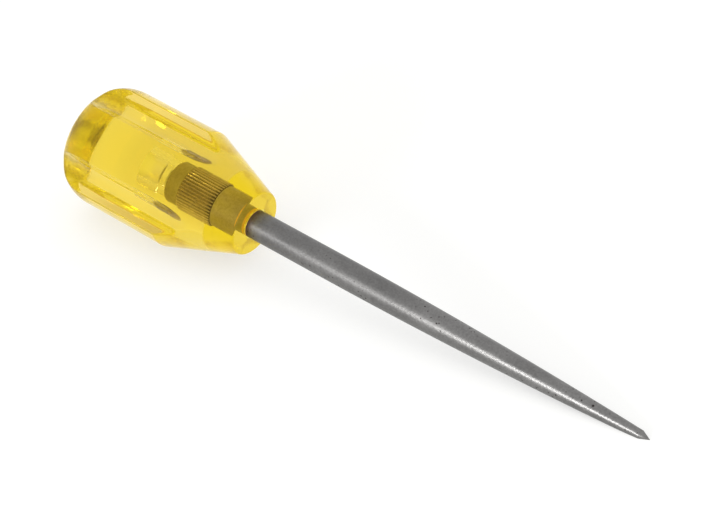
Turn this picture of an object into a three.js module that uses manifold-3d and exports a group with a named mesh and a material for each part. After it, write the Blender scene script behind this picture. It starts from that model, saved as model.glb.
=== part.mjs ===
// Scratch awl: a fluted clear plastic handle on a round steel blade.
// Millimetres. The blade's axis is X, with the butt's centre at the origin and the point towards +X.
// One flute of the handle faces straight up (+Z), so the awl lies on the two lands beside the lowest flute.

import * as THREE from 'three';
import { mergeVertices } from 'three/addons/utils/BufferGeometryUtils.js';
import Module from 'manifold-3d';

// Handle, outside
const handleLength = 58.2;
const shoulderRadius = 17.1;
const buttRadius = 17;
const buttFlatRadius = 4.5;
const buttDomeRadius = 45;
const buttEdgeLength = 6.5;
const buttEdgeDepth = 4;
const frontTaperLength = 22;
const shoulderRounding = 1.5;
const noseRadius = 9.1;
const noseEdgeRounding = 0.4;

// Flutes in the handle
const fluteCount = 4;
const fluteRadius = 8.8;
const fluteDepth = 3.3;
const landEdgeRadius = 0.8;

// Blade, outside the handle
const shankRadius = 3.97;
const bladeLength = 128;
const straightLength = 26;
const pointBaseRadius = 1.32;
const pointLength = 2.75;
const pointTipRadius = 0.06;

// Tang, inside the handle
const tangLength = 28;
const tangRadius = 3.9;
const tangEndRadius = 3;
const tangChamferLength = 1.6;
const knurlRearInset = 5.2;
const knurlLength = 11.5;
const knurlTeeth = 36;
const knurlRootRadius = 3.93;
const knurlCrestRadius = 4.2;
const knurlChamferLength = 0.4;

// Bore in the handle
const boreClearance = 0.3;
const boreOverrun = 6.5;
const tangNeckDepth = 3.2;

// How far a cutting shape runs past the surfaces that it leaves alone
const cutMargin = 0.05;

// Smoothness of the round surfaces
const turnSegments = 80;
const arcSteps = 8;
const bladeSteps = 12;

const noseX = handleLength;
const tipX = noseX + bladeLength;
const tangEndX = noseX - tangLength;

const wasm = await Module();
wasm.setup();

function toSolid(geometry) {
  geometry.deleteAttribute('normal');
  geometry.deleteAttribute('uv');
  const merged = mergeVertices(geometry, 1e-4);
  return new wasm.Manifold(
    new wasm.Mesh({
      numProp: 3,
      vertProperties: new Float32Array(merged.attributes.position.array),
      triVerts: new Uint32Array(merged.index.array),
    }),
  );
}

function toGeometry(solid) {
  const mesh = solid.getMesh();
  const geometry = new THREE.BufferGeometry();
  geometry.setAttribute('position', new THREE.BufferAttribute(mesh.vertProperties, 3));
  geometry.setIndex(new THREE.BufferAttribute(mesh.triVerts, 1));
  geometry.computeVertexNormals();
  return geometry;
}

// A turned solid about X. Each point of the outline is (radius, distance along X).
// The outline runs from the low end of the axis to its high end.
function turned(outline) {
  const geometry = new THREE.LatheGeometry(outline, turnSegments);
  geometry.rotateZ(-Math.PI / 2);
  return toSolid(geometry);
}

// A prism along X. The section is drawn in the plane of Y and Z.
function prism(section, startX, endX) {
  const geometry = new THREE.ExtrudeGeometry(section, {
    depth: endX - startX,
    bevelEnabled: false,
    curveSegments: arcSteps,
  });
  geometry.applyMatrix4(
    new THREE.Matrix4().makeBasis(
      new THREE.Vector3(0, 1, 0),
      new THREE.Vector3(0, 0, 1),
      new THREE.Vector3(1, 0, 0),
    ),
  );
  geometry.translate(startX, 0, 0);
  return toSolid(geometry);
}

// The corner of an outline, rounded with an arc that touches both of its sides.
function roundedCorner(before, corner, after, radius) {
  const back = before.clone().sub(corner).normalize();
  const ahead = after.clone().sub(corner).normalize();
  const half = Math.acos(back.dot(ahead)) / 2;
  const centre = corner.clone().addScaledVector(back.clone().add(ahead).normalize(), radius / Math.sin(half));
  const start = corner.clone().addScaledVector(back, radius / Math.tan(half)).sub(centre);
  const end = corner.clone().addScaledVector(ahead, radius / Math.tan(half)).sub(centre);
  const turn = Math.atan2(start.x * end.y - start.y * end.x, start.dot(end));
  const points = [];
  for (let i = 0; i <= arcSteps; i += 1) {
    points.push(start.clone().rotateAround(new THREE.Vector2(), (turn * i) / arcSteps).add(centre));
  }
  return points;
}

// How far the dome of the butt lies ahead of the flat at its centre.
function domeX(radius) {
  return Math.sqrt(buttDomeRadius ** 2 - buttFlatRadius ** 2) - Math.sqrt(buttDomeRadius ** 2 - radius ** 2);
}

// Butt: a small flat, a shallow dome round it, and an elliptical edge that carries on down to the lands.
function buttOutline() {
  const edgeStart = buttRadius - buttEdgeDepth;
  const outline = [new THREE.Vector2(0, 0)];
  for (let i = 0; i <= arcSteps; i += 1) {
    const radius = buttFlatRadius + ((edgeStart - buttFlatRadius) * i) / arcSteps;
    outline.push(new THREE.Vector2(radius, domeX(radius)));
  }
  for (let i = 1; i <= arcSteps; i += 1) {
    const turn = ((i / arcSteps) * Math.PI) / 2;
    const radius = edgeStart + buttEdgeDepth * Math.sin(turn);
    outline.push(new THREE.Vector2(radius, domeX(radius) + buttEdgeLength * (1 - Math.cos(turn))));
  }
  return outline;
}

// Outside of the handle before it is fluted: butt, lands, front taper and nose.
function handleOutline() {
  const butt = buttOutline();
  const shoulder = new THREE.Vector2(shoulderRadius, noseX - frontTaperLength);
  const noseEdge = new THREE.Vector2(noseRadius, noseX);
  const noseCentre = new THREE.Vector2(0, noseX);
  return [
    ...butt,
    ...roundedCorner(butt.at(-1), shoulder, noseEdge, shoulderRounding),
    ...roundedCorner(shoulder, noseEdge, noseCentre, noseEdgeRounding),
    noseCentre,
  ];
}

// Section of the fluted handle: arcs of the flutes joined to the lands by small rounded edges.
// The lands stand proud of the turned outside by the cutting margin, so that the turning forms them.
function flutedSection() {
  const landRadius = Math.max(shoulderRadius, buttRadius) + cutMargin;
  const fluteCentre = shoulderRadius - fluteDepth + fluteRadius;
  const edgeOrbit = landRadius - landEdgeRadius;
  const edgeReach = fluteRadius + landEdgeRadius;
  const cosine = (fluteCentre ** 2 + edgeOrbit ** 2 - edgeReach ** 2) / (2 * fluteCentre * edgeOrbit);
  const edgeAngle = Math.acos(cosine);
  const pitch = (2 * Math.PI) / fluteCount;
  const section = new THREE.Shape();
  for (let i = 0; i < fluteCount; i += 1) {
    const middle = Math.PI / 2 + i * pitch;
    const centre = new THREE.Vector2(fluteCentre, 0).rotateAround(new THREE.Vector2(), middle);
    const first = new THREE.Vector2(edgeOrbit, 0).rotateAround(new THREE.Vector2(), middle - edgeAngle);
    const last = new THREE.Vector2(edgeOrbit, 0).rotateAround(new THREE.Vector2(), middle + edgeAngle);
    const toFirst = first.clone().sub(centre).angle();
    const toLast = last.clone().sub(centre).angle();
    if (i === 0) {
      const start = new THREE.Vector2(landRadius, 0).rotateAround(new THREE.Vector2(), middle - edgeAngle);
      section.moveTo(start.x, start.y);
    }
    section.absarc(first.x, first.y, landEdgeRadius, middle - edgeAngle, toFirst + Math.PI, false);
    section.absarc(centre.x, centre.y, fluteRadius, toFirst, toLast, true);
    section.absarc(last.x, last.y, landEdgeRadius, toLast + Math.PI, middle + edgeAngle, false);
    section.absarc(0, 0, landRadius, middle + edgeAngle, middle + pitch - edgeAngle, false);
  }
  return section;
}

// Blind bore with a flat bottom, deeper than the tang reaches.
function boreOutline() {
  const boreRadius = Math.max(knurlCrestRadius, tangRadius, shankRadius) + boreClearance;
  const endX = tangEndX - boreOverrun;
  return [
    new THREE.Vector2(0, endX),
    new THREE.Vector2(boreRadius, endX),
    new THREE.Vector2(boreRadius, noseX + cutMargin),
    new THREE.Vector2(0, noseX + cutMargin),
  ];
}

function makeHandle() {
  const outside = turned(handleOutline());
  const fluted = outside.intersect(prism(flutedSection(), -cutMargin, noseX + cutMargin));
  return toGeometry(fluted.subtract(turned(boreOutline())));
}

// Radius of the shank: straight beside the handle, then drawn in along one long arc to the point.
function shankRadiusAt(along) {
  const taperLength = bladeLength - pointLength - straightLength;
  const part = Math.max(0, along - straightLength) / taperLength;
  return shankRadius - (shankRadius - pointBaseRadius) * part * part;
}

function bladeOutline() {
  const outline = [
    new THREE.Vector2(0, tangEndX),
    new THREE.Vector2(tangEndRadius, tangEndX),
    new THREE.Vector2(tangRadius, tangEndX + tangChamferLength),
    new THREE.Vector2(tangRadius, noseX - tangNeckDepth),
    new THREE.Vector2(shankRadius, noseX - tangNeckDepth),
    new THREE.Vector2(shankRadius, noseX + straightLength),
  ];
  for (let i = 1; i <= bladeSteps; i += 1) {
    const along = straightLength + ((bladeLength - pointLength - straightLength) * i) / bladeSteps;
    outline.push(new THREE.Vector2(shankRadiusAt(along), noseX + along));
  }
  outline.push(new THREE.Vector2(pointTipRadius, tipX - pointTipRadius));
  outline.push(new THREE.Vector2(0, tipX));
  return outline;
}

// Straight-knurled band on the tang: teeth with flat sides all round a prism, chamfered at both ends.
function knurledBand() {
  const rearX = tangEndX + knurlRearInset;
  const frontX = rearX + knurlLength;
  const section = new THREE.Shape();
  for (let i = 0; i < knurlTeeth; i += 1) {
    const root = (i / knurlTeeth) * 2 * Math.PI;
    const crest = ((i + 0.5) / knurlTeeth) * 2 * Math.PI;
    if (i === 0) {
      section.moveTo(knurlRootRadius * Math.cos(root), knurlRootRadius * Math.sin(root));
    } else {
      section.lineTo(knurlRootRadius * Math.cos(root), knurlRootRadius * Math.sin(root));
    }
    section.lineTo(knurlCrestRadius * Math.cos(crest), knurlCrestRadius * Math.sin(crest));
  }
  section.closePath();
  const envelopeRadius = knurlCrestRadius + cutMargin;
  const ends = turned([
    new THREE.Vector2(0, rearX),
    new THREE.Vector2(tangRadius, rearX),
    new THREE.Vector2(envelopeRadius, rearX + knurlChamferLength),
    new THREE.Vector2(envelopeRadius, frontX - knurlChamferLength),
    new THREE.Vector2(tangRadius, frontX),
    new THREE.Vector2(0, frontX),
  ]);
  return prism(section, rearX, frontX).intersect(ends);
}

function makeBlade() {
  return toGeometry(turned(bladeOutline()).add(knurledBand()));
}

const awl = new THREE.Group();
awl.name = 'scratch_awl';

const handle = new THREE.Mesh(
  makeHandle(),
  new THREE.MeshStandardMaterial({ color: 0xe6bc1e, roughness: 0.12, metalness: 0 }),
);
handle.name = 'handle';
awl.add(handle);

const blade = new THREE.Mesh(
  makeBlade(),
  new THREE.MeshStandardMaterial({ color: 0x75716c, roughness: 0.4, metalness: 1 }),
);
blade.name = 'blade';
awl.add(blade);

export default awl;
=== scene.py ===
import math

import bmesh
import bpy
from mathutils import Matrix, Vector


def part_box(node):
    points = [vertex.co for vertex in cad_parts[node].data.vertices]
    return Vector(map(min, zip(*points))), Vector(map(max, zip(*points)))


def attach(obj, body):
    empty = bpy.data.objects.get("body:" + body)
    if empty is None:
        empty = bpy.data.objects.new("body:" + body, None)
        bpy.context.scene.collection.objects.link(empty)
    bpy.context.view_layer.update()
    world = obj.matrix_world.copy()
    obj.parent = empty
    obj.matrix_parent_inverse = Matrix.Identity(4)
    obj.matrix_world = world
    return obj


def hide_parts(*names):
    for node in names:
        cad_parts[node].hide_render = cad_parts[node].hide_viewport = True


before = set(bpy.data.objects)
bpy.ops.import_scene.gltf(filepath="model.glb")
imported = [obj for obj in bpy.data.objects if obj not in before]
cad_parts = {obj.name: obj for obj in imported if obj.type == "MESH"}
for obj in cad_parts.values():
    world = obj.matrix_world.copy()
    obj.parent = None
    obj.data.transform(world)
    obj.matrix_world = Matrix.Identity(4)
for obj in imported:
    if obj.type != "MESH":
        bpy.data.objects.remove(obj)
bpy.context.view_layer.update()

mm = 0.001
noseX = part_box("handle")[1].x / mm  # front face of the handle
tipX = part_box("blade")[1].x / mm  # point of the blade
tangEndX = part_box("blade")[0].x / mm  # rear end of the tang, inside the handle
sharpAngle = math.radians(30)  # an edge sharper than this is shaded as an edge
noiseLow, noiseMiddle, noiseHigh = 0.3, 0.5, 0.7  # the usual range of a noise texture
white = (1, 1, 1, 1)


def linearColour(hexCode):
    channels = [int(hexCode[i:i + 2], 16) / 255 for i in (1, 3, 5)]
    return [c / 12.92 if c <= 0.04045 else ((c + 0.055) / 1.055) ** 2.4 for c in channels] + [1.0]


# A node with its settings, and its inputs as plain values or as sockets to link
def addNode(tree, kind, inputs=None, **settings):
    node = tree.nodes.new(kind)
    for name, value in settings.items():
        setattr(node, name, value)
    for key, value in (inputs or {}).items():
        if isinstance(value, bpy.types.NodeSocket):
            tree.links.new(value, node.inputs[key])
        else:
            node.inputs[key].default_value = value
    return node


def newMaterial(name):
    material = bpy.data.materials.new(name)
    material.use_nodes = True
    material.node_tree.nodes.clear()
    return material


def newObject(name, data):
    thing = bpy.data.objects.new(name, data)
    bpy.context.scene.collection.objects.link(thing)
    return thing


# How far a place in a material lies along the axis, and how far from it
def axisParts(tree, place):
    x, y, z = addNode(tree, "ShaderNodeSeparateXYZ", {0: place}).outputs
    section = addNode(tree, "ShaderNodeCombineXYZ", {1: y, 2: z}).outputs[0]
    radius = addNode(tree, "ShaderNodeVectorMath", {0: section}, operation="LENGTH")
    return x, radius.outputs["Value"]


# A corner of an outline, rounded with an arc that touches both of its sides
def roundedCorner(before, corner, after, radius, steps):
    before, corner, after = Vector(before), Vector(corner), Vector(after)
    back = (before - corner).normalized()
    ahead = (after - corner).normalized()
    half = back.angle(ahead) / 2
    centre = corner + (back + ahead).normalized() * radius / math.sin(half)
    first = corner + back * radius / math.tan(half) - centre
    last = corner + ahead * radius / math.tan(half) - centre
    start = math.atan2(first.y, first.x)
    sweep = (math.atan2(last.y, last.x) - start + math.pi) % math.tau - math.pi
    angles = [start + sweep * i / steps for i in range(steps + 1)]
    return [(centre.x + radius * math.cos(a), centre.y + radius * math.sin(a)) for a in angles]


# Extra points along an outline, so that no step is longer than the one given
def withShortSteps(outline, step):
    points = [outline[0]]
    for (x0, r0), (x1, r1) in zip(outline, outline[1:]):
        count = max(1, math.ceil(math.dist((x0, r0), (x1, r1)) / step))
        shares = [i / count for i in range(1, count + 1)]
        points += [(x0 + (x1 - x0) * share, r0 + (r1 - r0) * share) for share in shares]
    return points


# A closed turned mesh about X from an outline of (distance along X, radius), both ends on the axis
def turnedMesh(name, outline, segments):
    work = bmesh.new()
    rings = []
    for x, radius in outline:
        if radius == 0:
            rings.append([work.verts.new((x * mm, 0, 0))])
            continue
        angles = [math.tau * i / segments for i in range(segments)]
        places = [(x * mm, radius * math.sin(a) * mm, radius * math.cos(a) * mm) for a in angles]
        rings.append([work.verts.new(place) for place in places])
    for one, two in zip(rings, rings[1:]):
        for i in range(segments):
            j = (i + 1) % segments
            corners = [one[i % len(one)], one[j % len(one)], two[j % len(two)], two[i % len(two)]]
            work.faces.new(list(dict.fromkeys(corners)))
    bmesh.ops.recalc_face_normals(work, faces=work.faces)
    mesh = bpy.data.meshes.new(name)
    work.to_mesh(mesh)
    work.free()
    mesh.shade_smooth()
    return mesh


# A modifier's tree with named inputs: geometry, then one socket for each entry
def newTree(name, sockets):
    tree = bpy.data.node_groups.new(name, "GeometryNodeTree")
    tree.interface.new_socket("Geometry", in_out="INPUT", socket_type="NodeSocketGeometry")
    for label, kind in sockets.items():
        tree.interface.new_socket(label, in_out="INPUT", socket_type=kind)
    tree.interface.new_socket("Geometry", in_out="OUTPUT", socket_type="NodeSocketGeometry")
    return tree


# Runs a tree on an object with the given inputs and leaves the result as a plain mesh
def applyTree(piece, tree, values):
    modifier = piece.modifiers.new(tree.name, "NODES")
    modifier.node_group = tree
    for item in tree.interface.items_tree:
        if item.in_out == "INPUT" and item.name in values:
            modifier[item.identifier] = values[item.name]
    evaluated = piece.evaluated_get(bpy.context.evaluated_depsgraph_get())
    mesh = bpy.data.meshes.new_from_object(evaluated)
    piece.modifiers.clear()
    piece.data = mesh


print("Blade")

blade = {
    "shankRadius": 3.97,
    "straightLength": 26.0,
    "pointBaseRadius": 1.32,
    "pointLength": 2.75,
    "pointTipRadius": 0.06,
    "tangRadius": 3.9,
    "tangEndRadius": 3.0,
    "tangChamferLength": 1.6,
    "neckDepth": 3.2,
    "segments": 96,
    "step": 0.8,
}

knurl = {
    "teeth": 36,
    "rearInset": 5.2,
    "length": 11.5,
    "crestRadius": 4.2,
    "toothHeight": 0.4,
    "endSlope": 0.4,
    # The grooves' colour is painted shade: full deep in the grooves, gone near the crests.
    "grooveDepths": (0.65, 0.2),  # shares of the height where a groove's colour is full and gone
}


# Radius of the shank: straight beside the handle, then drawn in along one long arc to the point
def shankRadiusAt(along):
    taperLength = tipX - noseX - blade["pointLength"] - blade["straightLength"]
    part = max(0, along - blade["straightLength"]) / taperLength
    return blade["shankRadius"] - (blade["shankRadius"] - blade["pointBaseRadius"]) * part ** 2


def bladeOutline():
    taperEnd = tipX - noseX - blade["pointLength"]
    steps = math.ceil(taperEnd / blade["step"])
    alongs = [taperEnd * i / steps for i in range(steps + 1)]
    shank = [(noseX + along, shankRadiusAt(along)) for along in alongs]
    tip = blade["pointTipRadius"]
    return [
        (tangEndX, 0),
        (tangEndX, blade["tangEndRadius"]),
        (tangEndX + blade["tangChamferLength"], blade["tangRadius"]),
        (noseX - blade["neckDepth"], blade["tangRadius"]),
        (noseX - blade["neckDepth"], blade["shankRadius"]),
        *shank,
        (tipX - tip, tip),
        (tipX, 0),
    ]


# One tooth of the knurl: a ridge along X with sloping ends, standing on the tang towards +Z
def toothMesh():
    start = tangEndX + knurl["rearInset"]
    end = start + knurl["length"]
    slope = knurl["endSlope"]
    crest = knurl["crestRadius"]
    foot = crest - knurl["toothHeight"]
    halfWidth = math.pi * foot / knurl["teeth"]
    corners = [
        (start, -halfWidth, foot), (start, halfWidth, foot), (start + slope, 0, crest),
        (end, -halfWidth, foot), (end, halfWidth, foot), (end - slope, 0, crest),
    ]
    faces = [(0, 1, 2), (3, 5, 4), (0, 2, 5, 3), (1, 4, 5, 2), (0, 3, 4, 1)]
    mesh = bpy.data.meshes.new("knurlTooth")
    mesh.from_pydata([Vector(corner) * mm for corner in corners], [], faces)
    return mesh


# Sets copies of one tooth evenly round the tang
def knurlTree():
    tree = newTree("rollKnurl", {"Teeth": "NodeSocketInt", "Material": "NodeSocketMaterial"})
    given = addNode(tree, "NodeGroupInput").outputs
    pitch = addNode(tree, "ShaderNodeMath", {0: math.tau, 1: given["Teeth"]}, operation="DIVIDE")
    index = addNode(tree, "GeometryNodeInputIndex")
    turn = addNode(tree, "ShaderNodeMath", {
        0: index.outputs[0], 1: pitch.outputs[0],
    }, operation="MULTIPLY")
    rotation = addNode(tree, "ShaderNodeCombineXYZ", {0: turn.outputs[0]})
    points = addNode(tree, "GeometryNodePoints", {"Count": given["Teeth"]})
    copies = addNode(tree, "GeometryNodeInstanceOnPoints", {
        "Points": points.outputs[0], "Instance": given["Geometry"], "Rotation": rotation.outputs[0],
    })
    real = addNode(tree, "GeometryNodeRealizeInstances", {0: copies.outputs[0]})
    coated = addNode(tree, "GeometryNodeSetMaterial", {
        "Geometry": real.outputs[0], "Material": given["Material"],
    })
    addNode(tree, "NodeGroupOutput", {"Geometry": coated.outputs[0]})
    return tree


# Carbon tool steel, a drawn round bar ground down to the point and dulled in use.
# The shank is matt and dark with a fine grain, and darker and browner next to the handle's mouth.
# The ground taper is paler and smoother.
# Small rust pits lie in patches all over the bar, with a deep one near the point.
toolSteel = {
    "tang": "#AEA598",
    # Painted light: the shank's end inside the bore's mouth is painted bright gold for the light it
    # shows through the handle's nose.
    "neckPaintedLight": "#EFC97C",
    # Painted highlight on the knurl's crests, then painted shade in its grooves, darker towards
    # their front ends.
    "crest": "#C8BBA2",
    "grooveShade": "#9A8B74",
    "grooveFrontTone": "#4A4032",
    "shank": "#777675",
    # Darker and browner colour next to the handle's mouth.
    "mouthDark": "#5F5254",
    "taper": "#7C7B7A",
    "pit": "#2E2826",
    "grainSize": 0.6,
    "grainDepth": 0.06,
    "grainTone": (0.8, 1.16),
    "cloudSize": 7.0,
    "cloudStretch": 0.5,
    "cloudTone": (0.82, 1.14),
    "pitSpacing": 1.3,
    "pitEdge": (0.1, 0.24),
    "pitPatch": (0.45, 0.6),
    "pitDepth": 0.036,
    "deepPit": {"fromTip": 17.0, "turn": -26.0, "radius": 0.45, "floorRadius": 0.18},
    "tangRoughness": 0.36,
    "knurlRoughness": 0.43,
    "shankRoughness": 0.43,
    "taperRoughness": 0.34,
    "roughnessSpread": 0.3,
    "mouthDarkLength": 2.6,
    "frontDarkLength": 2.2,
    "frontDarkGap": 0.5,
    "neckMargin": 0.01,
    "groundFrom": 40.0,
    "groundTo": 50.0,
}


# The part inside the handle: bright steel, with a painted highlight that lightens the teeth's
# crests and painted shade that darkens the grooves with depth, darker still towards their front
# ends.
# The shank's end inside the bore's mouth is painted bright gold as painted light, for the golden
# light it shows through the nose.
def tangColour(tree, x, radius):
    front = tangEndX + knurl["rearInset"] + knurl["length"]
    half = knurl["length"] / 2
    full, gone = [knurl["toothHeight"] * share for share in knurl["grooveDepths"]]
    # Painted shade: the grooves darken with depth.
    depth = addNode(tree, "ShaderNodeMapRange", {
        "Value": radius, "From Min": (knurl["crestRadius"] - full) * mm,
        "From Max": (knurl["crestRadius"] - gone) * mm,
        "To Min": 1.0, "To Max": 0.0,
    })
    inKnurl = addNode(tree, "ShaderNodeMath", {
        0: x, 1: (front - half) * mm, 2: half * mm,
    }, operation="COMPARE")
    inGroove = addNode(tree, "ShaderNodeMath", {
        0: inKnurl.outputs[0], 1: depth.outputs[0],
    }, operation="MULTIPLY")
    # Darker towards the front ends of the grooves.
    towardsFront = addNode(tree, "ShaderNodeMapRange", {
        "Value": x, "From Min": (front - toolSteel["frontDarkLength"]) * mm,
        "From Max": (front - toolSteel["frontDarkGap"]) * mm,
    })
    grooveShade = addNode(tree, "ShaderNodeMix", {
        0: towardsFront.outputs[0],
        6: linearColour(toolSteel["grooveShade"]), 7: linearColour(toolSteel["grooveFrontTone"]),
    }, data_type="RGBA")
    # Painted light: the shank's end inside the bore's mouth is painted bright gold.
    atNeck = addNode(tree, "ShaderNodeMath", {
        0: x, 1: (noseX - blade["neckDepth"] - toolSteel["neckMargin"]) * mm,
    }, operation="GREATER_THAN")
    plain = addNode(tree, "ShaderNodeMix", {
        0: atNeck.outputs[0],
        6: linearColour(toolSteel["tang"]), 7: linearColour(toolSteel["neckPaintedLight"]),
    }, data_type="RGBA")
    # Painted highlight: the knurl's crests are painted lighter.
    raised = addNode(tree, "ShaderNodeMix", {
        0: inKnurl.outputs[0], 6: plain.outputs[2], 7: linearColour(toolSteel["crest"]),
    }, data_type="RGBA")
    colour = addNode(tree, "ShaderNodeMix", {
        0: inGroove.outputs[0], 6: raised.outputs[2], 7: grooveShade.outputs[2],
    }, data_type="RGBA")
    return colour.outputs[2], inKnurl.outputs[0]


# The part outside: drawn bar, darker and browner next to the handle's mouth, and ground paler along
# the taper
def shankColour(tree, x, ground):
    bar = addNode(tree, "ShaderNodeMix", {
        0: ground, 6: linearColour(toolSteel["shank"]), 7: linearColour(toolSteel["taper"]),
    }, data_type="RGBA")
    # Darker and browner next to the handle's mouth.
    byMouth = addNode(tree, "ShaderNodeMapRange", {
        "Value": x, "From Min": noseX * mm, "From Max": (noseX + toolSteel["mouthDarkLength"]) * mm,
        "To Min": 1.0, "To Max": 0.0,
    }, interpolation_type="SMOOTHSTEP")
    colour = addNode(tree, "ShaderNodeMix", {
        0: byMouth.outputs[0], 6: bar.outputs[2], 7: linearColour(toolSteel["mouthDark"]),
    }, data_type="RGBA")
    return colour.outputs[2]


# 1 in the rust pits: patches of small ones outside the handle, and one deep one
def pitMask(tree, place, clouds, outside):
    cells = addNode(tree, "ShaderNodeTexVoronoi", {
        "Vector": place, "Scale": 1 / (toolSteel["pitSpacing"] * mm), "Randomness": 1.0,
    })
    patch = addNode(tree, "ShaderNodeMapRange", {
        "Value": clouds,
        "From Min": toolSteel["pitPatch"][0], "From Max": toolSteel["pitPatch"][1],
    }, interpolation_type="SMOOTHSTEP")
    rusted = addNode(tree, "ShaderNodeMath", {
        0: patch.outputs[0], 1: outside,
    }, operation="MULTIPLY")
    small = addNode(tree, "ShaderNodeMapRange", {
        "Value": cells.outputs["Distance"],
        "From Min": toolSteel["pitEdge"][0], "From Max": toolSteel["pitEdge"][1],
        "To Min": rusted.outputs[0], "To Max": 0.0,
    }, interpolation_type="SMOOTHSTEP")
    pit = toolSteel["deepPit"]
    radius = shankRadiusAt(tipX - noseX - pit["fromTip"])
    turn = math.radians(pit["turn"])
    middle = (tipX - pit["fromTip"], radius * math.sin(turn), radius * math.cos(turn))
    away = addNode(tree, "ShaderNodeVectorMath", {
        0: place, 1: [c * mm for c in middle],
    }, operation="DISTANCE")
    deep = addNode(tree, "ShaderNodeMapRange", {
        "Value": away.outputs["Value"],
        "From Min": pit["floorRadius"] * mm, "From Max": pit["radius"] * mm,
        "To Min": 1.0, "To Max": 0.0,
    }, interpolation_type="SMOOTHSTEP")
    both = addNode(tree, "ShaderNodeMath", {
        0: small.outputs[0], 1: deep.outputs[0],
    }, operation="MAXIMUM")
    return both.outputs[0]


def steelMaterial():
    material = newMaterial("drawnToolSteel")
    tree = material.node_tree
    place = addNode(tree, "ShaderNodeTexCoord").outputs["Object"]
    x, radius = axisParts(tree, place)
    ground = addNode(tree, "ShaderNodeMapRange", {
        "Value": x, "From Min": (noseX + toolSteel["groundFrom"]) * mm,
        "From Max": (tipX - toolSteel["groundTo"]) * mm,
    }, interpolation_type="SMOOTHSTEP").outputs[0]
    outside = addNode(tree, "ShaderNodeMath", {
        0: x, 1: noseX * mm,
    }, operation="GREATER_THAN").outputs[0]

    tang, inKnurl = tangColour(tree, x, radius)
    bare = addNode(tree, "ShaderNodeMix", {
        0: outside, 6: tang, 7: shankColour(tree, x, ground),
    }, data_type="RGBA")
    grain = addNode(tree, "ShaderNodeTexNoise", {
        "Vector": place, "Scale": 1 / (toolSteel["grainSize"] * mm),
        "Detail": 4, "Roughness": 0.7,
    })
    drawn = addNode(tree, "ShaderNodeMapping", {
        "Vector": place, "Scale": (toolSteel["cloudStretch"], 1, 1),
    })
    clouds = addNode(tree, "ShaderNodeTexNoise", {
        "Vector": drawn.outputs[0], "Scale": 1 / (toolSteel["cloudSize"] * mm),
        "Detail": 6, "Roughness": 0.6,
    })
    shade = addNode(tree, "ShaderNodeMapRange", {
        "Value": clouds.outputs[0], "From Min": noiseLow, "From Max": noiseHigh,
        "To Min": toolSteel["cloudTone"][0], "To Max": toolSteel["cloudTone"][1],
    })
    speckle = addNode(tree, "ShaderNodeMapRange", {
        "Value": grain.outputs[0], "From Min": noiseLow, "From Max": noiseHigh,
        "To Min": toolSteel["grainTone"][0], "To Max": toolSteel["grainTone"][1],
    })
    tone = addNode(tree, "ShaderNodeMath", {
        0: shade.outputs[0], 1: speckle.outputs[0],
    }, operation="MULTIPLY")
    toned = addNode(tree, "ShaderNodeVectorMath", {
        0: bare.outputs[2], "Scale": tone.outputs[0],
    }, operation="SCALE")
    pits = pitMask(tree, place, clouds.outputs[0], outside)
    pitted = addNode(tree, "ShaderNodeMix", {
        0: pits, 6: toned.outputs[0], 7: linearColour(toolSteel["pit"]),
    }, data_type="RGBA")

    barRoughness = addNode(tree, "ShaderNodeMapRange", {
        "Value": ground,
        "To Min": toolSteel["shankRoughness"], "To Max": toolSteel["taperRoughness"],
    })
    tangRoughness = addNode(tree, "ShaderNodeMapRange", {
        "Value": inKnurl,
        "To Min": toolSteel["tangRoughness"], "To Max": toolSteel["knurlRoughness"],
    })
    dullness = addNode(tree, "ShaderNodeMix", {
        0: outside, 2: tangRoughness.outputs[0], 3: barRoughness.outputs[0],
    })
    patchy = addNode(tree, "ShaderNodeMath", {
        0: clouds.outputs[0], 1: noiseMiddle,
    }, operation="SUBTRACT")
    roughness = addNode(tree, "ShaderNodeMath", {
        0: patchy.outputs[0], 1: toolSteel["roughnessSpread"], 2: dullness.outputs[0],
    }, operation="MULTIPLY_ADD")

    relief = addNode(tree, "ShaderNodeBump", {
        "Height": grain.outputs[0], "Strength": 1.0, "Distance": toolSteel["grainDepth"] * mm,
    })
    dented = addNode(tree, "ShaderNodeBump", {
        "Height": pits, "Strength": 1.0, "Distance": toolSteel["pitDepth"] * mm,
        "Normal": relief.outputs[0],
    }, invert=True)
    surface = addNode(tree, "ShaderNodeBsdfPrincipled", {
        "Base Color": pitted.outputs[2], "Metallic": 1.0, "Roughness": roughness.outputs[0],
        "Normal": dented.outputs[0],
    })
    addNode(tree, "ShaderNodeOutputMaterial", {"Surface": surface.outputs[0]})
    return material


def makeBlade():
    steel = steelMaterial()
    teeth = newObject("knurlTeeth", toothMesh())
    applyTree(teeth, knurlTree(), {"Teeth": knurl["teeth"], "Material": steel})
    mesh = turnedMesh("bladeSteel", bladeOutline(), blade["segments"])
    work = bmesh.new()
    work.from_mesh(mesh)
    work.from_mesh(teeth.data)
    work.to_mesh(mesh)
    work.free()
    bpy.data.objects.remove(teeth)
    mesh.materials.append(steel)
    mesh.set_sharp_from_angle(angle=sharpAngle)
    piece = newObject("bladeSteel", mesh)
    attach(piece, "root")
    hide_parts("blade")


makeBlade()

print("Handle")

handle = {
    "shoulderRadius": 17.1,
    "buttRadius": 17.0,
    "buttFlatRadius": 4.5,
    "buttDomeRadius": 45.0,
    "buttEdgeLength": 6.5,
    "buttEdgeDepth": 4.0,
    "frontTaperLength": 22.0,
    "shoulderRounding": 1.5,
    "noseRadius": 9.1,
    "noseEdgeRounding": 0.4,
    "fluteCount": 4,
    "fluteRadius": 8.8,
    "fluteDepth": 3.3,
    "landEdgeSoftness": 0.8,
    "segments": 480,
    "step": 0.5,
    "domeSteps": 24,
    "edgeSteps": 48,
    "shoulderSteps": 8,
    "noseSteps": 12,
}

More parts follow.
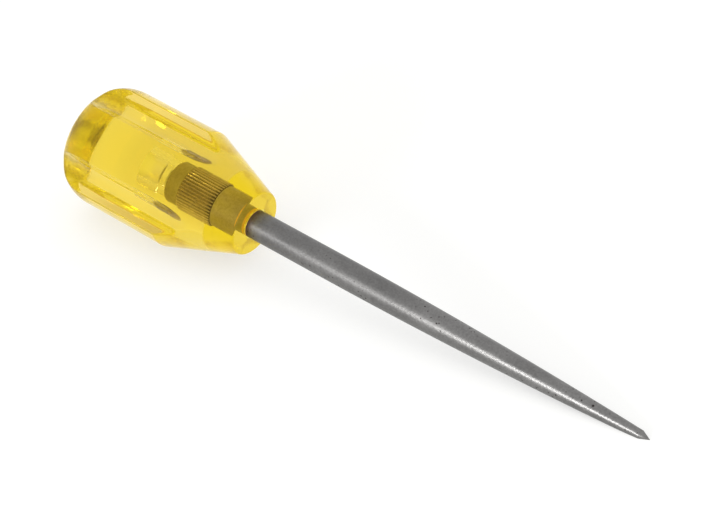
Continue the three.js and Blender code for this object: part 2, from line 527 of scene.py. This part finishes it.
# The plastic grips the tang, so its bore lies just inside the steel there.
# It stands a little open round the shank at the mouth, and open behind the end of the tang.
bore = {
    "mouthRadius": 4.3,
    "mouthDepth": 0.8,
    "gripRadius": 3.72,
    "gripStop": 2.4,
    "spaceRadius": 3.5,
    "spaceLength": 6.5,
    "stepLength": 0.2,
}


# How far the dome of the butt lies ahead of the flat at its centre
def domeX(radius):
    dome, flat = handle["buttDomeRadius"], handle["buttFlatRadius"]
    return math.sqrt(dome ** 2 - flat ** 2) - math.sqrt(dome ** 2 - radius ** 2)


# Butt: a small flat, a shallow dome round it, and an elliptical edge that carries on to the lands
def buttOutline():
    edgeStart = handle["buttRadius"] - handle["buttEdgeDepth"]
    flat = handle["buttFlatRadius"]
    domeSteps, edgeSteps = handle["domeSteps"], handle["edgeSteps"]
    domeRadii = [flat + (edgeStart - flat) * i / domeSteps for i in range(domeSteps)]
    outline = [(0, 0)] + [(domeX(radius), radius) for radius in domeRadii]
    for i in range(edgeSteps + 1):
        turn = math.pi / 2 * i / edgeSteps
        radius = edgeStart + handle["buttEdgeDepth"] * math.sin(turn)
        outline.append((domeX(radius) + handle["buttEdgeLength"] * (1 - math.cos(turn)), radius))
    return outline


def handleOutline():
    shoulder = (noseX - handle["frontTaperLength"], handle["shoulderRadius"])
    noseEdge = (noseX, handle["noseRadius"])
    spaceEndX = tangEndX - bore["spaceLength"]
    gripEndX = tangEndX + bore["gripStop"]
    gripStartX = noseX - bore["mouthDepth"]
    butt = buttOutline()
    rounding, noseRounding = handle["shoulderRounding"], handle["noseEdgeRounding"]
    outside = [
        *butt,
        *roundedCorner(butt[-1], shoulder, noseEdge, rounding, handle["shoulderSteps"]),
        *roundedCorner(shoulder, noseEdge, (noseX, 0), noseRounding, handle["noseSteps"]),
    ]
    inside = [
        (noseX, bore["mouthRadius"]),
        (gripStartX, bore["mouthRadius"]),
        (gripStartX - bore["stepLength"], bore["gripRadius"]),
        (gripEndX, bore["gripRadius"]),
        (gripEndX - bore["stepLength"], bore["spaceRadius"]),
        (spaceEndX, bore["spaceRadius"]),
        (spaceEndX, 0),
    ]
    return withShortSteps(outside, handle["step"]) + inside


# Cuts the flutes into a turned blank: each point outside a flute's circle is drawn in to it
def fluteTree():
    tree = newTree("cutFlutes", {
        "Flute Count": "NodeSocketInt",
        "Flute Radius": "NodeSocketFloat",
        "Flute Centre": "NodeSocketFloat",
        "Edge Softness": "NodeSocketFloat",
        "Material": "NodeSocketMaterial",
    })
    given = addNode(tree, "NodeGroupInput").outputs

    place = addNode(tree, "GeometryNodeInputPosition").outputs[0]
    x, y, z = addNode(tree, "ShaderNodeSeparateXYZ", {0: place}).outputs
    section = addNode(tree, "ShaderNodeCombineXYZ", {1: y, 2: z}).outputs[0]
    length = addNode(tree, "ShaderNodeVectorMath", {0: section}, operation="LENGTH")
    radius = length.outputs["Value"]
    halfPitch = addNode(tree, "ShaderNodeMath", {
        0: math.pi, 1: given["Flute Count"],
    }, operation="DIVIDE")
    lowest = addNode(tree, "ShaderNodeMath", {
        0: halfPitch.outputs[0], 1: -1,
    }, operation="MULTIPLY")
    turn = addNode(tree, "ShaderNodeMath", {0: y, 1: z}, operation="ARCTAN2")
    angle = addNode(tree, "ShaderNodeMath", {
        0: turn.outputs[0], 1: halfPitch.outputs[0], 2: lowest.outputs[0],
    }, operation="WRAP")
    sine = addNode(tree, "ShaderNodeMath", {0: angle.outputs[0]}, operation="SINE")
    cosine = addNode(tree, "ShaderNodeMath", {0: angle.outputs[0]}, operation="COSINE")
    across = addNode(tree, "ShaderNodeMath", {
        0: given["Flute Centre"], 1: sine.outputs[0],
    }, operation="MULTIPLY")
    along = addNode(tree, "ShaderNodeMath", {
        0: given["Flute Centre"], 1: cosine.outputs[0],
    }, operation="MULTIPLY")
    squared = addNode(tree, "ShaderNodeMath", {0: given["Flute Radius"], 1: 2}, operation="POWER")
    acrossSquared = addNode(tree, "ShaderNodeMath", {
        0: across.outputs[0], 1: 2,
    }, operation="POWER")
    inside = addNode(tree, "ShaderNodeMath", {
        0: squared.outputs[0], 1: acrossSquared.outputs[0],
    }, operation="SUBTRACT")
    kept = addNode(tree, "ShaderNodeMath", {0: inside.outputs[0], 1: 0}, operation="MAXIMUM")
    reach = addNode(tree, "ShaderNodeMath", {0: kept.outputs[0]}, operation="SQRT")
    floor = addNode(tree, "ShaderNodeMath", {
        0: along.outputs[0], 1: reach.outputs[0],
    }, operation="SUBTRACT")
    # Where no flute is met, the limit lies a metre further out
    missed = addNode(tree, "ShaderNodeMath", {0: inside.outputs[0], 1: 0}, operation="LESS_THAN")
    limit = addNode(tree, "ShaderNodeMath", {
        0: floor.outputs[0], 1: missed.outputs[0],
    }, operation="ADD")
    cut = addNode(tree, "ShaderNodeMath", {
        0: radius, 1: limit.outputs[0], 2: given["Edge Softness"],
    }, operation="SMOOTH_MIN")
    share = addNode(tree, "ShaderNodeMath", {0: cut.outputs[0], 1: radius}, operation="DIVIDE")
    drawnIn = addNode(tree, "ShaderNodeVectorMath", {
        0: section, "Scale": share.outputs[0],
    }, operation="SCALE")
    ahead = addNode(tree, "ShaderNodeCombineXYZ", {0: x})
    moved = addNode(tree, "ShaderNodeVectorMath", {
        0: drawnIn.outputs[0], 1: ahead.outputs[0],
    }, operation="ADD")
    fluted = addNode(tree, "GeometryNodeSetPosition", {
        "Geometry": given["Geometry"], "Position": moved.outputs[0],
    })
    real = addNode(tree, "GeometryNodeRealizeInstances", {0: fluted.outputs[0]})
    coated = addNode(tree, "GeometryNodeSetMaterial", {
        "Geometry": real.outputs[0], "Material": given["Material"],
    })
    addNode(tree, "NodeGroupOutput", {"Geometry": coated.outputs[0]})
    return tree


# Cellulose acetate butyrate, moulded clear and dyed amber, then polished and scuffed in use.
# It is glossy and see-through. The dye takes up blue light only, so that the colour is a deeper
# yellow where the light's way through the plastic is longer.
# Fine scuffs soften the reflections and small nicks catch the light.
# Blows have dulled and dented the butt.
amberPlastic = {
    "tint": "#EFD5A0",
    "gloss": "#FFE089",
    "ior": 1.48,
    "dye": "#FFFD3E",
    "dyeDensity": 55,
    "polish": 0.05,
    "scuffed": 0.12,
    "scuffSize": 2.5,
    "scuffRange": (0.45, 0.75),
    "scratchWidth": 0.12,
    "scratchStretch": 0.12,
    "scratchDepth": 0.0012,
    "nickSpacing": 5.0,
    "nickEdge": 0.09,
    "nickDepth": 0.04,
    "drilled": 0.25,
    "struck": 0.14,
    "struckLength": 9.0,
    "dentSize": 3.0,
    "dentDepth": 0.3,
    "boreMargin": 0.05,
}


# Roughness of the plastic: scuffed in patches, duller towards the butt and in the bore's open end
def plasticRoughness(tree, place, struck, inSpace):
    scuffs = addNode(tree, "ShaderNodeTexNoise", {
        "Vector": place, "Scale": 1 / (amberPlastic["scuffSize"] * mm),
        "Detail": 5, "Roughness": 0.6,
    })
    handled = addNode(tree, "ShaderNodeMapRange", {
        "Value": scuffs.outputs[0],
        "From Min": amberPlastic["scuffRange"][0], "From Max": amberPlastic["scuffRange"][1],
        "To Min": amberPlastic["polish"], "To Max": amberPlastic["scuffed"],
    })
    blunted = addNode(tree, "ShaderNodeMath", {
        0: struck, 1: amberPlastic["struck"], 2: handled.outputs[0],
    }, operation="MULTIPLY_ADD")
    return addNode(tree, "ShaderNodeMath", {
        0: inSpace, 1: amberPlastic["drilled"], 2: blunted.outputs[0],
    }, operation="MULTIPLY_ADD").outputs[0]


# Relief of the plastic: long fine scratches, small nicks here and there, and dents in the butt
def plasticRelief(tree, place, struck):
    drawn = addNode(tree, "ShaderNodeMapping", {
        "Vector": place, "Scale": (amberPlastic["scratchStretch"], 1, 1),
    })
    scratches = addNode(tree, "ShaderNodeTexNoise", {
        "Vector": drawn.outputs[0], "Scale": 1 / (amberPlastic["scratchWidth"] * mm),
        "Detail": 3,
    })
    scratched = addNode(tree, "ShaderNodeBump", {
        "Height": scratches.outputs[0], "Strength": 1.0,
        "Distance": amberPlastic["scratchDepth"] * mm,
    })
    cells = addNode(tree, "ShaderNodeTexVoronoi", {
        "Vector": place, "Scale": 1 / (amberPlastic["nickSpacing"] * mm), "Randomness": 1.0,
    })
    nick = addNode(tree, "ShaderNodeMapRange", {
        "Value": cells.outputs["Distance"], "From Min": 0.0, "From Max": amberPlastic["nickEdge"],
        "To Min": 1.0, "To Max": 0.0,
    }, interpolation_type="SMOOTHSTEP")
    nicked = addNode(tree, "ShaderNodeBump", {
        "Height": nick.outputs[0], "Strength": 1.0, "Distance": amberPlastic["nickDepth"] * mm,
        "Normal": scratched.outputs[0],
    }, invert=True)
    dents = addNode(tree, "ShaderNodeTexNoise", {
        "Vector": place, "Scale": 1 / (amberPlastic["dentSize"] * mm), "Detail": 1,
    })
    depth = addNode(tree, "ShaderNodeMath", {0: dents.outputs[0], 1: struck}, operation="MULTIPLY")
    dented = addNode(tree, "ShaderNodeBump", {
        "Height": depth.outputs[0], "Strength": 1.0, "Distance": amberPlastic["dentDepth"] * mm,
        "Normal": nicked.outputs[0],
    })
    return dented.outputs[0]


def amberMaterial():
    material = newMaterial("amberButyratePlastic")
    tree = material.node_tree
    place = addNode(tree, "ShaderNodeTexCoord").outputs["Object"]
    x, radius = axisParts(tree, place)
    struck = addNode(tree, "ShaderNodeMapRange", {
        "Value": x, "From Min": 0.0, "From Max": amberPlastic["struckLength"] * mm,
        "To Min": 1.0, "To Max": 0.0,
    }, interpolation_type="SMOOTHSTEP").outputs[0]
    inBore = addNode(tree, "ShaderNodeMath", {
        0: radius, 1: (bore["mouthRadius"] + amberPlastic["boreMargin"]) * mm,
    }, operation="LESS_THAN")
    behindTang = addNode(tree, "ShaderNodeMath", {
        0: x, 1: (tangEndX + bore["gripStop"]) * mm,
    }, operation="LESS_THAN")
    inSpace = addNode(tree, "ShaderNodeMath", {
        0: inBore.outputs[0], 1: behindTang.outputs[0],
    }, operation="MULTIPLY")
    # The bore's own surface is left untinted, so that the tang isn't tinted twice over
    tint = addNode(tree, "ShaderNodeMix", {
        0: inBore.outputs[0], 6: linearColour(amberPlastic["tint"]), 7: white,
    }, data_type="RGBA")
    surface = addNode(tree, "ShaderNodeBsdfPrincipled", {
        "Base Color": tint.outputs[2], "Specular Tint": linearColour(amberPlastic["gloss"]),
        "Roughness": plasticRoughness(tree, place, struck, inSpace.outputs[0]),
        "IOR": amberPlastic["ior"], "Transmission Weight": 1.0,
        "Normal": plasticRelief(tree, place, struck),
    })
    dye = addNode(tree, "ShaderNodeVolumeAbsorption", {
        "Color": linearColour(amberPlastic["dye"]), "Density": amberPlastic["dyeDensity"],
    })
    addNode(tree, "ShaderNodeOutputMaterial", {
        "Surface": surface.outputs[0], "Volume": dye.outputs[0],
    })
    return material


def makeHandle():
    blank = turnedMesh("handleAmber", handleOutline(), handle["segments"])
    piece = newObject("handleAmber", blank)
    fluteCentre = handle["shoulderRadius"] - handle["fluteDepth"] + handle["fluteRadius"]
    applyTree(piece, fluteTree(), {
        "Flute Count": handle["fluteCount"],
        "Flute Radius": handle["fluteRadius"] * mm,
        "Flute Centre": fluteCentre * mm,
        "Edge Softness": handle["landEdgeSoftness"] * mm,
        "Material": amberMaterial(),
    })
    piece.data.set_sharp_from_angle(angle=sharpAngle)
    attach(piece, "root")
    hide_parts("handle")
    return piece


handlePiece = makeHandle()

print("Floor and light")

# The awl tips forward on its handle until the point touches the table,
# so the table slopes in this frame.
studio = {
    "floorColour": "#C0C0BE",
    "floorGlow": 0.53,
    "floorHalfSize": 3000.0,
    "floorGap": 0.05,
    "skyStrength": 0.9,
    "lampDirection": (-0.14, -0.955, 0.26),
    "lampDistance": 1400.0,
    "lampSize": (500.0, 260.0),
    "lampPower": 11.0,
    "bounces": 24,
    "glossyBounces": 12,
}


# 1 for a ray that shows the background: straight from the camera, off metal or through plastic.
# Light that reaches the table through the handle isn't counted, so that its shadow stays.
def seenDirectly(tree):
    path = addNode(tree, "ShaderNodeLightPath").outputs
    straight = addNode(tree, "ShaderNodeMath", {
        0: path["Is Camera Ray"], 1: path["Is Glossy Ray"],
    }, operation="MAXIMUM")
    onTheWay = addNode(tree, "ShaderNodeMath", {
        0: straight.outputs[0], 1: path["Is Transmission Ray"],
    }, operation="MAXIMUM")
    unscattered = addNode(tree, "ShaderNodeMath", {
        0: path["Diffuse Depth"], 1: 1,
    }, operation="LESS_THAN")
    seen = addNode(tree, "ShaderNodeMath", {
        0: onTheWay.outputs[0], 1: unscattered.outputs[0],
    }, operation="MULTIPLY")
    return seen.outputs[0]


def floorMaterial():
    material = newMaterial("whiteTable")
    tree = material.node_tree
    paint = addNode(tree, "ShaderNodeBsdfDiffuse", {"Color": linearColour(studio["floorColour"])})
    strength = addNode(tree, "ShaderNodeMath", {
        0: seenDirectly(tree), 1: studio["floorGlow"],
    }, operation="MULTIPLY")
    glow = addNode(tree, "ShaderNodeEmission", {"Color": white, "Strength": strength.outputs[0]})
    both = addNode(tree, "ShaderNodeAddShader", {0: paint.outputs[0], 1: glow.outputs[0]})
    addNode(tree, "ShaderNodeOutputMaterial", {"Surface": both.outputs[0]})
    return material


def makeFloor():
    points = [v.co for v in handlePiece.data.vertices]
    tip = Vector((tipX * mm, 0, 0))
    slope = max(math.atan2(tip.z - p.z, tip.x - p.x) for p in points if p.x < noseX * mm)
    normal = Vector((-math.sin(slope), 0, math.cos(slope)))
    side = Vector((0, 1, 0))
    along = side.cross(normal)
    size = studio["floorHalfSize"] * mm
    low = tip - normal * studio["floorGap"] * mm
    signs = ((-1, -1), (1, -1), (1, 1), (-1, 1))
    corners = [low + along * a * size + side * b * size for a, b in signs]
    mesh = bpy.data.meshes.new("table")
    mesh.from_pydata(corners, [], [(0, 1, 2, 3)])
    mesh.materials.append(floorMaterial())
    floor = newObject("table", mesh)


def makeLight():
    world = bpy.data.worlds.new("softRoom")
    world.use_nodes = True
    tree = world.node_tree
    tree.nodes.clear()
    strength = addNode(tree, "ShaderNodeMapRange", {
        "Value": seenDirectly(tree), "To Min": studio["skyStrength"], "To Max": 1.0,
    })
    sky = addNode(tree, "ShaderNodeBackground", {"Color": white, "Strength": strength.outputs[0]})
    addNode(tree, "ShaderNodeOutputWorld", {"Surface": sky.outputs[0]})
    bpy.context.scene.world = world
    lamp = bpy.data.lights.new("softLamp", "AREA")
    lamp.shape = "RECTANGLE"
    lamp.size, lamp.size_y = [side * mm for side in studio["lampSize"]]
    lamp.energy = studio["lampPower"]
    lampObject = newObject("softLamp", lamp)
    towards = Vector(studio["lampDirection"]).normalized()
    middle = Vector(((noseX + tipX) / 2 * mm, 0, 0))
    place = middle + towards * studio["lampDistance"] * mm
    facing = towards.to_track_quat("Z", "Y")
    lampObject.matrix_world = Matrix.LocRotScale(place, facing, None)


makeFloor()
makeLight()

print("Camera")

camera = {
    "distance": 900.0,
    "pixelsPerMm": 3.76,
    "noseAt": (254.9, 223.7),
    "photoSize": (705, 524),
    "towardsCamera": 27.24,
    "roundAxis": 45.0,
    "slantInPicture": 28.58,
    "sensorWidth": 36.0,
    "clipEnd": 20000.0,
}


# The camera looks down at the land between the top flute and the one towards -Y.
# The point leans towards it, and the axis slants down to the right in the picture.
def makeCamera():
    lean = math.radians(camera["towardsCamera"])
    turn = math.radians(camera["roundAxis"])
    slant = math.radians(camera["slantInPicture"])
    axis = Vector((1, 0, 0))
    down = Vector((0, 0, -1))
    away = down * math.cos(turn) + axis.cross(down) * math.sin(turn)
    forward = away * math.cos(lean) - axis * math.sin(lean)
    shownAxis = (axis - forward * axis.dot(forward)).normalized()
    across = (-forward).cross(shownAxis)
    right = shownAxis * math.cos(slant) + across * math.sin(slant)
    up = across * math.cos(slant) - shownAxis * math.sin(slant)
    focalPixels = camera["pixelsPerMm"] * camera["distance"]
    width, height = camera["photoSize"]
    offset = right * (camera["noseAt"][0] - width / 2) - up * (camera["noseAt"][1] - height / 2)
    place = Vector((noseX, 0, 0)) * mm - (forward + offset / focalPixels) * camera["distance"] * mm
    lens = bpy.data.cameras.new("photoCamera")
    lens.sensor_width = camera["sensorWidth"]
    lens.lens = focalPixels / width * lens.sensor_width
    lens.clip_end = camera["clipEnd"] * mm
    turned = Matrix((right, up, -forward)).transposed().to_4x4()
    cameraObject = newObject("photoCamera", lens)
    cameraObject.matrix_world = Matrix.Translation(place) @ turned
    bpy.context.scene.camera = cameraObject


makeCamera()

scene = bpy.context.scene
scene.view_settings.view_transform = "Standard"
scene.cycles.max_bounces = studio["bounces"]
scene.cycles.transmission_bounces = studio["bounces"]
scene.cycles.glossy_bounces = studio["glossyBounces"]
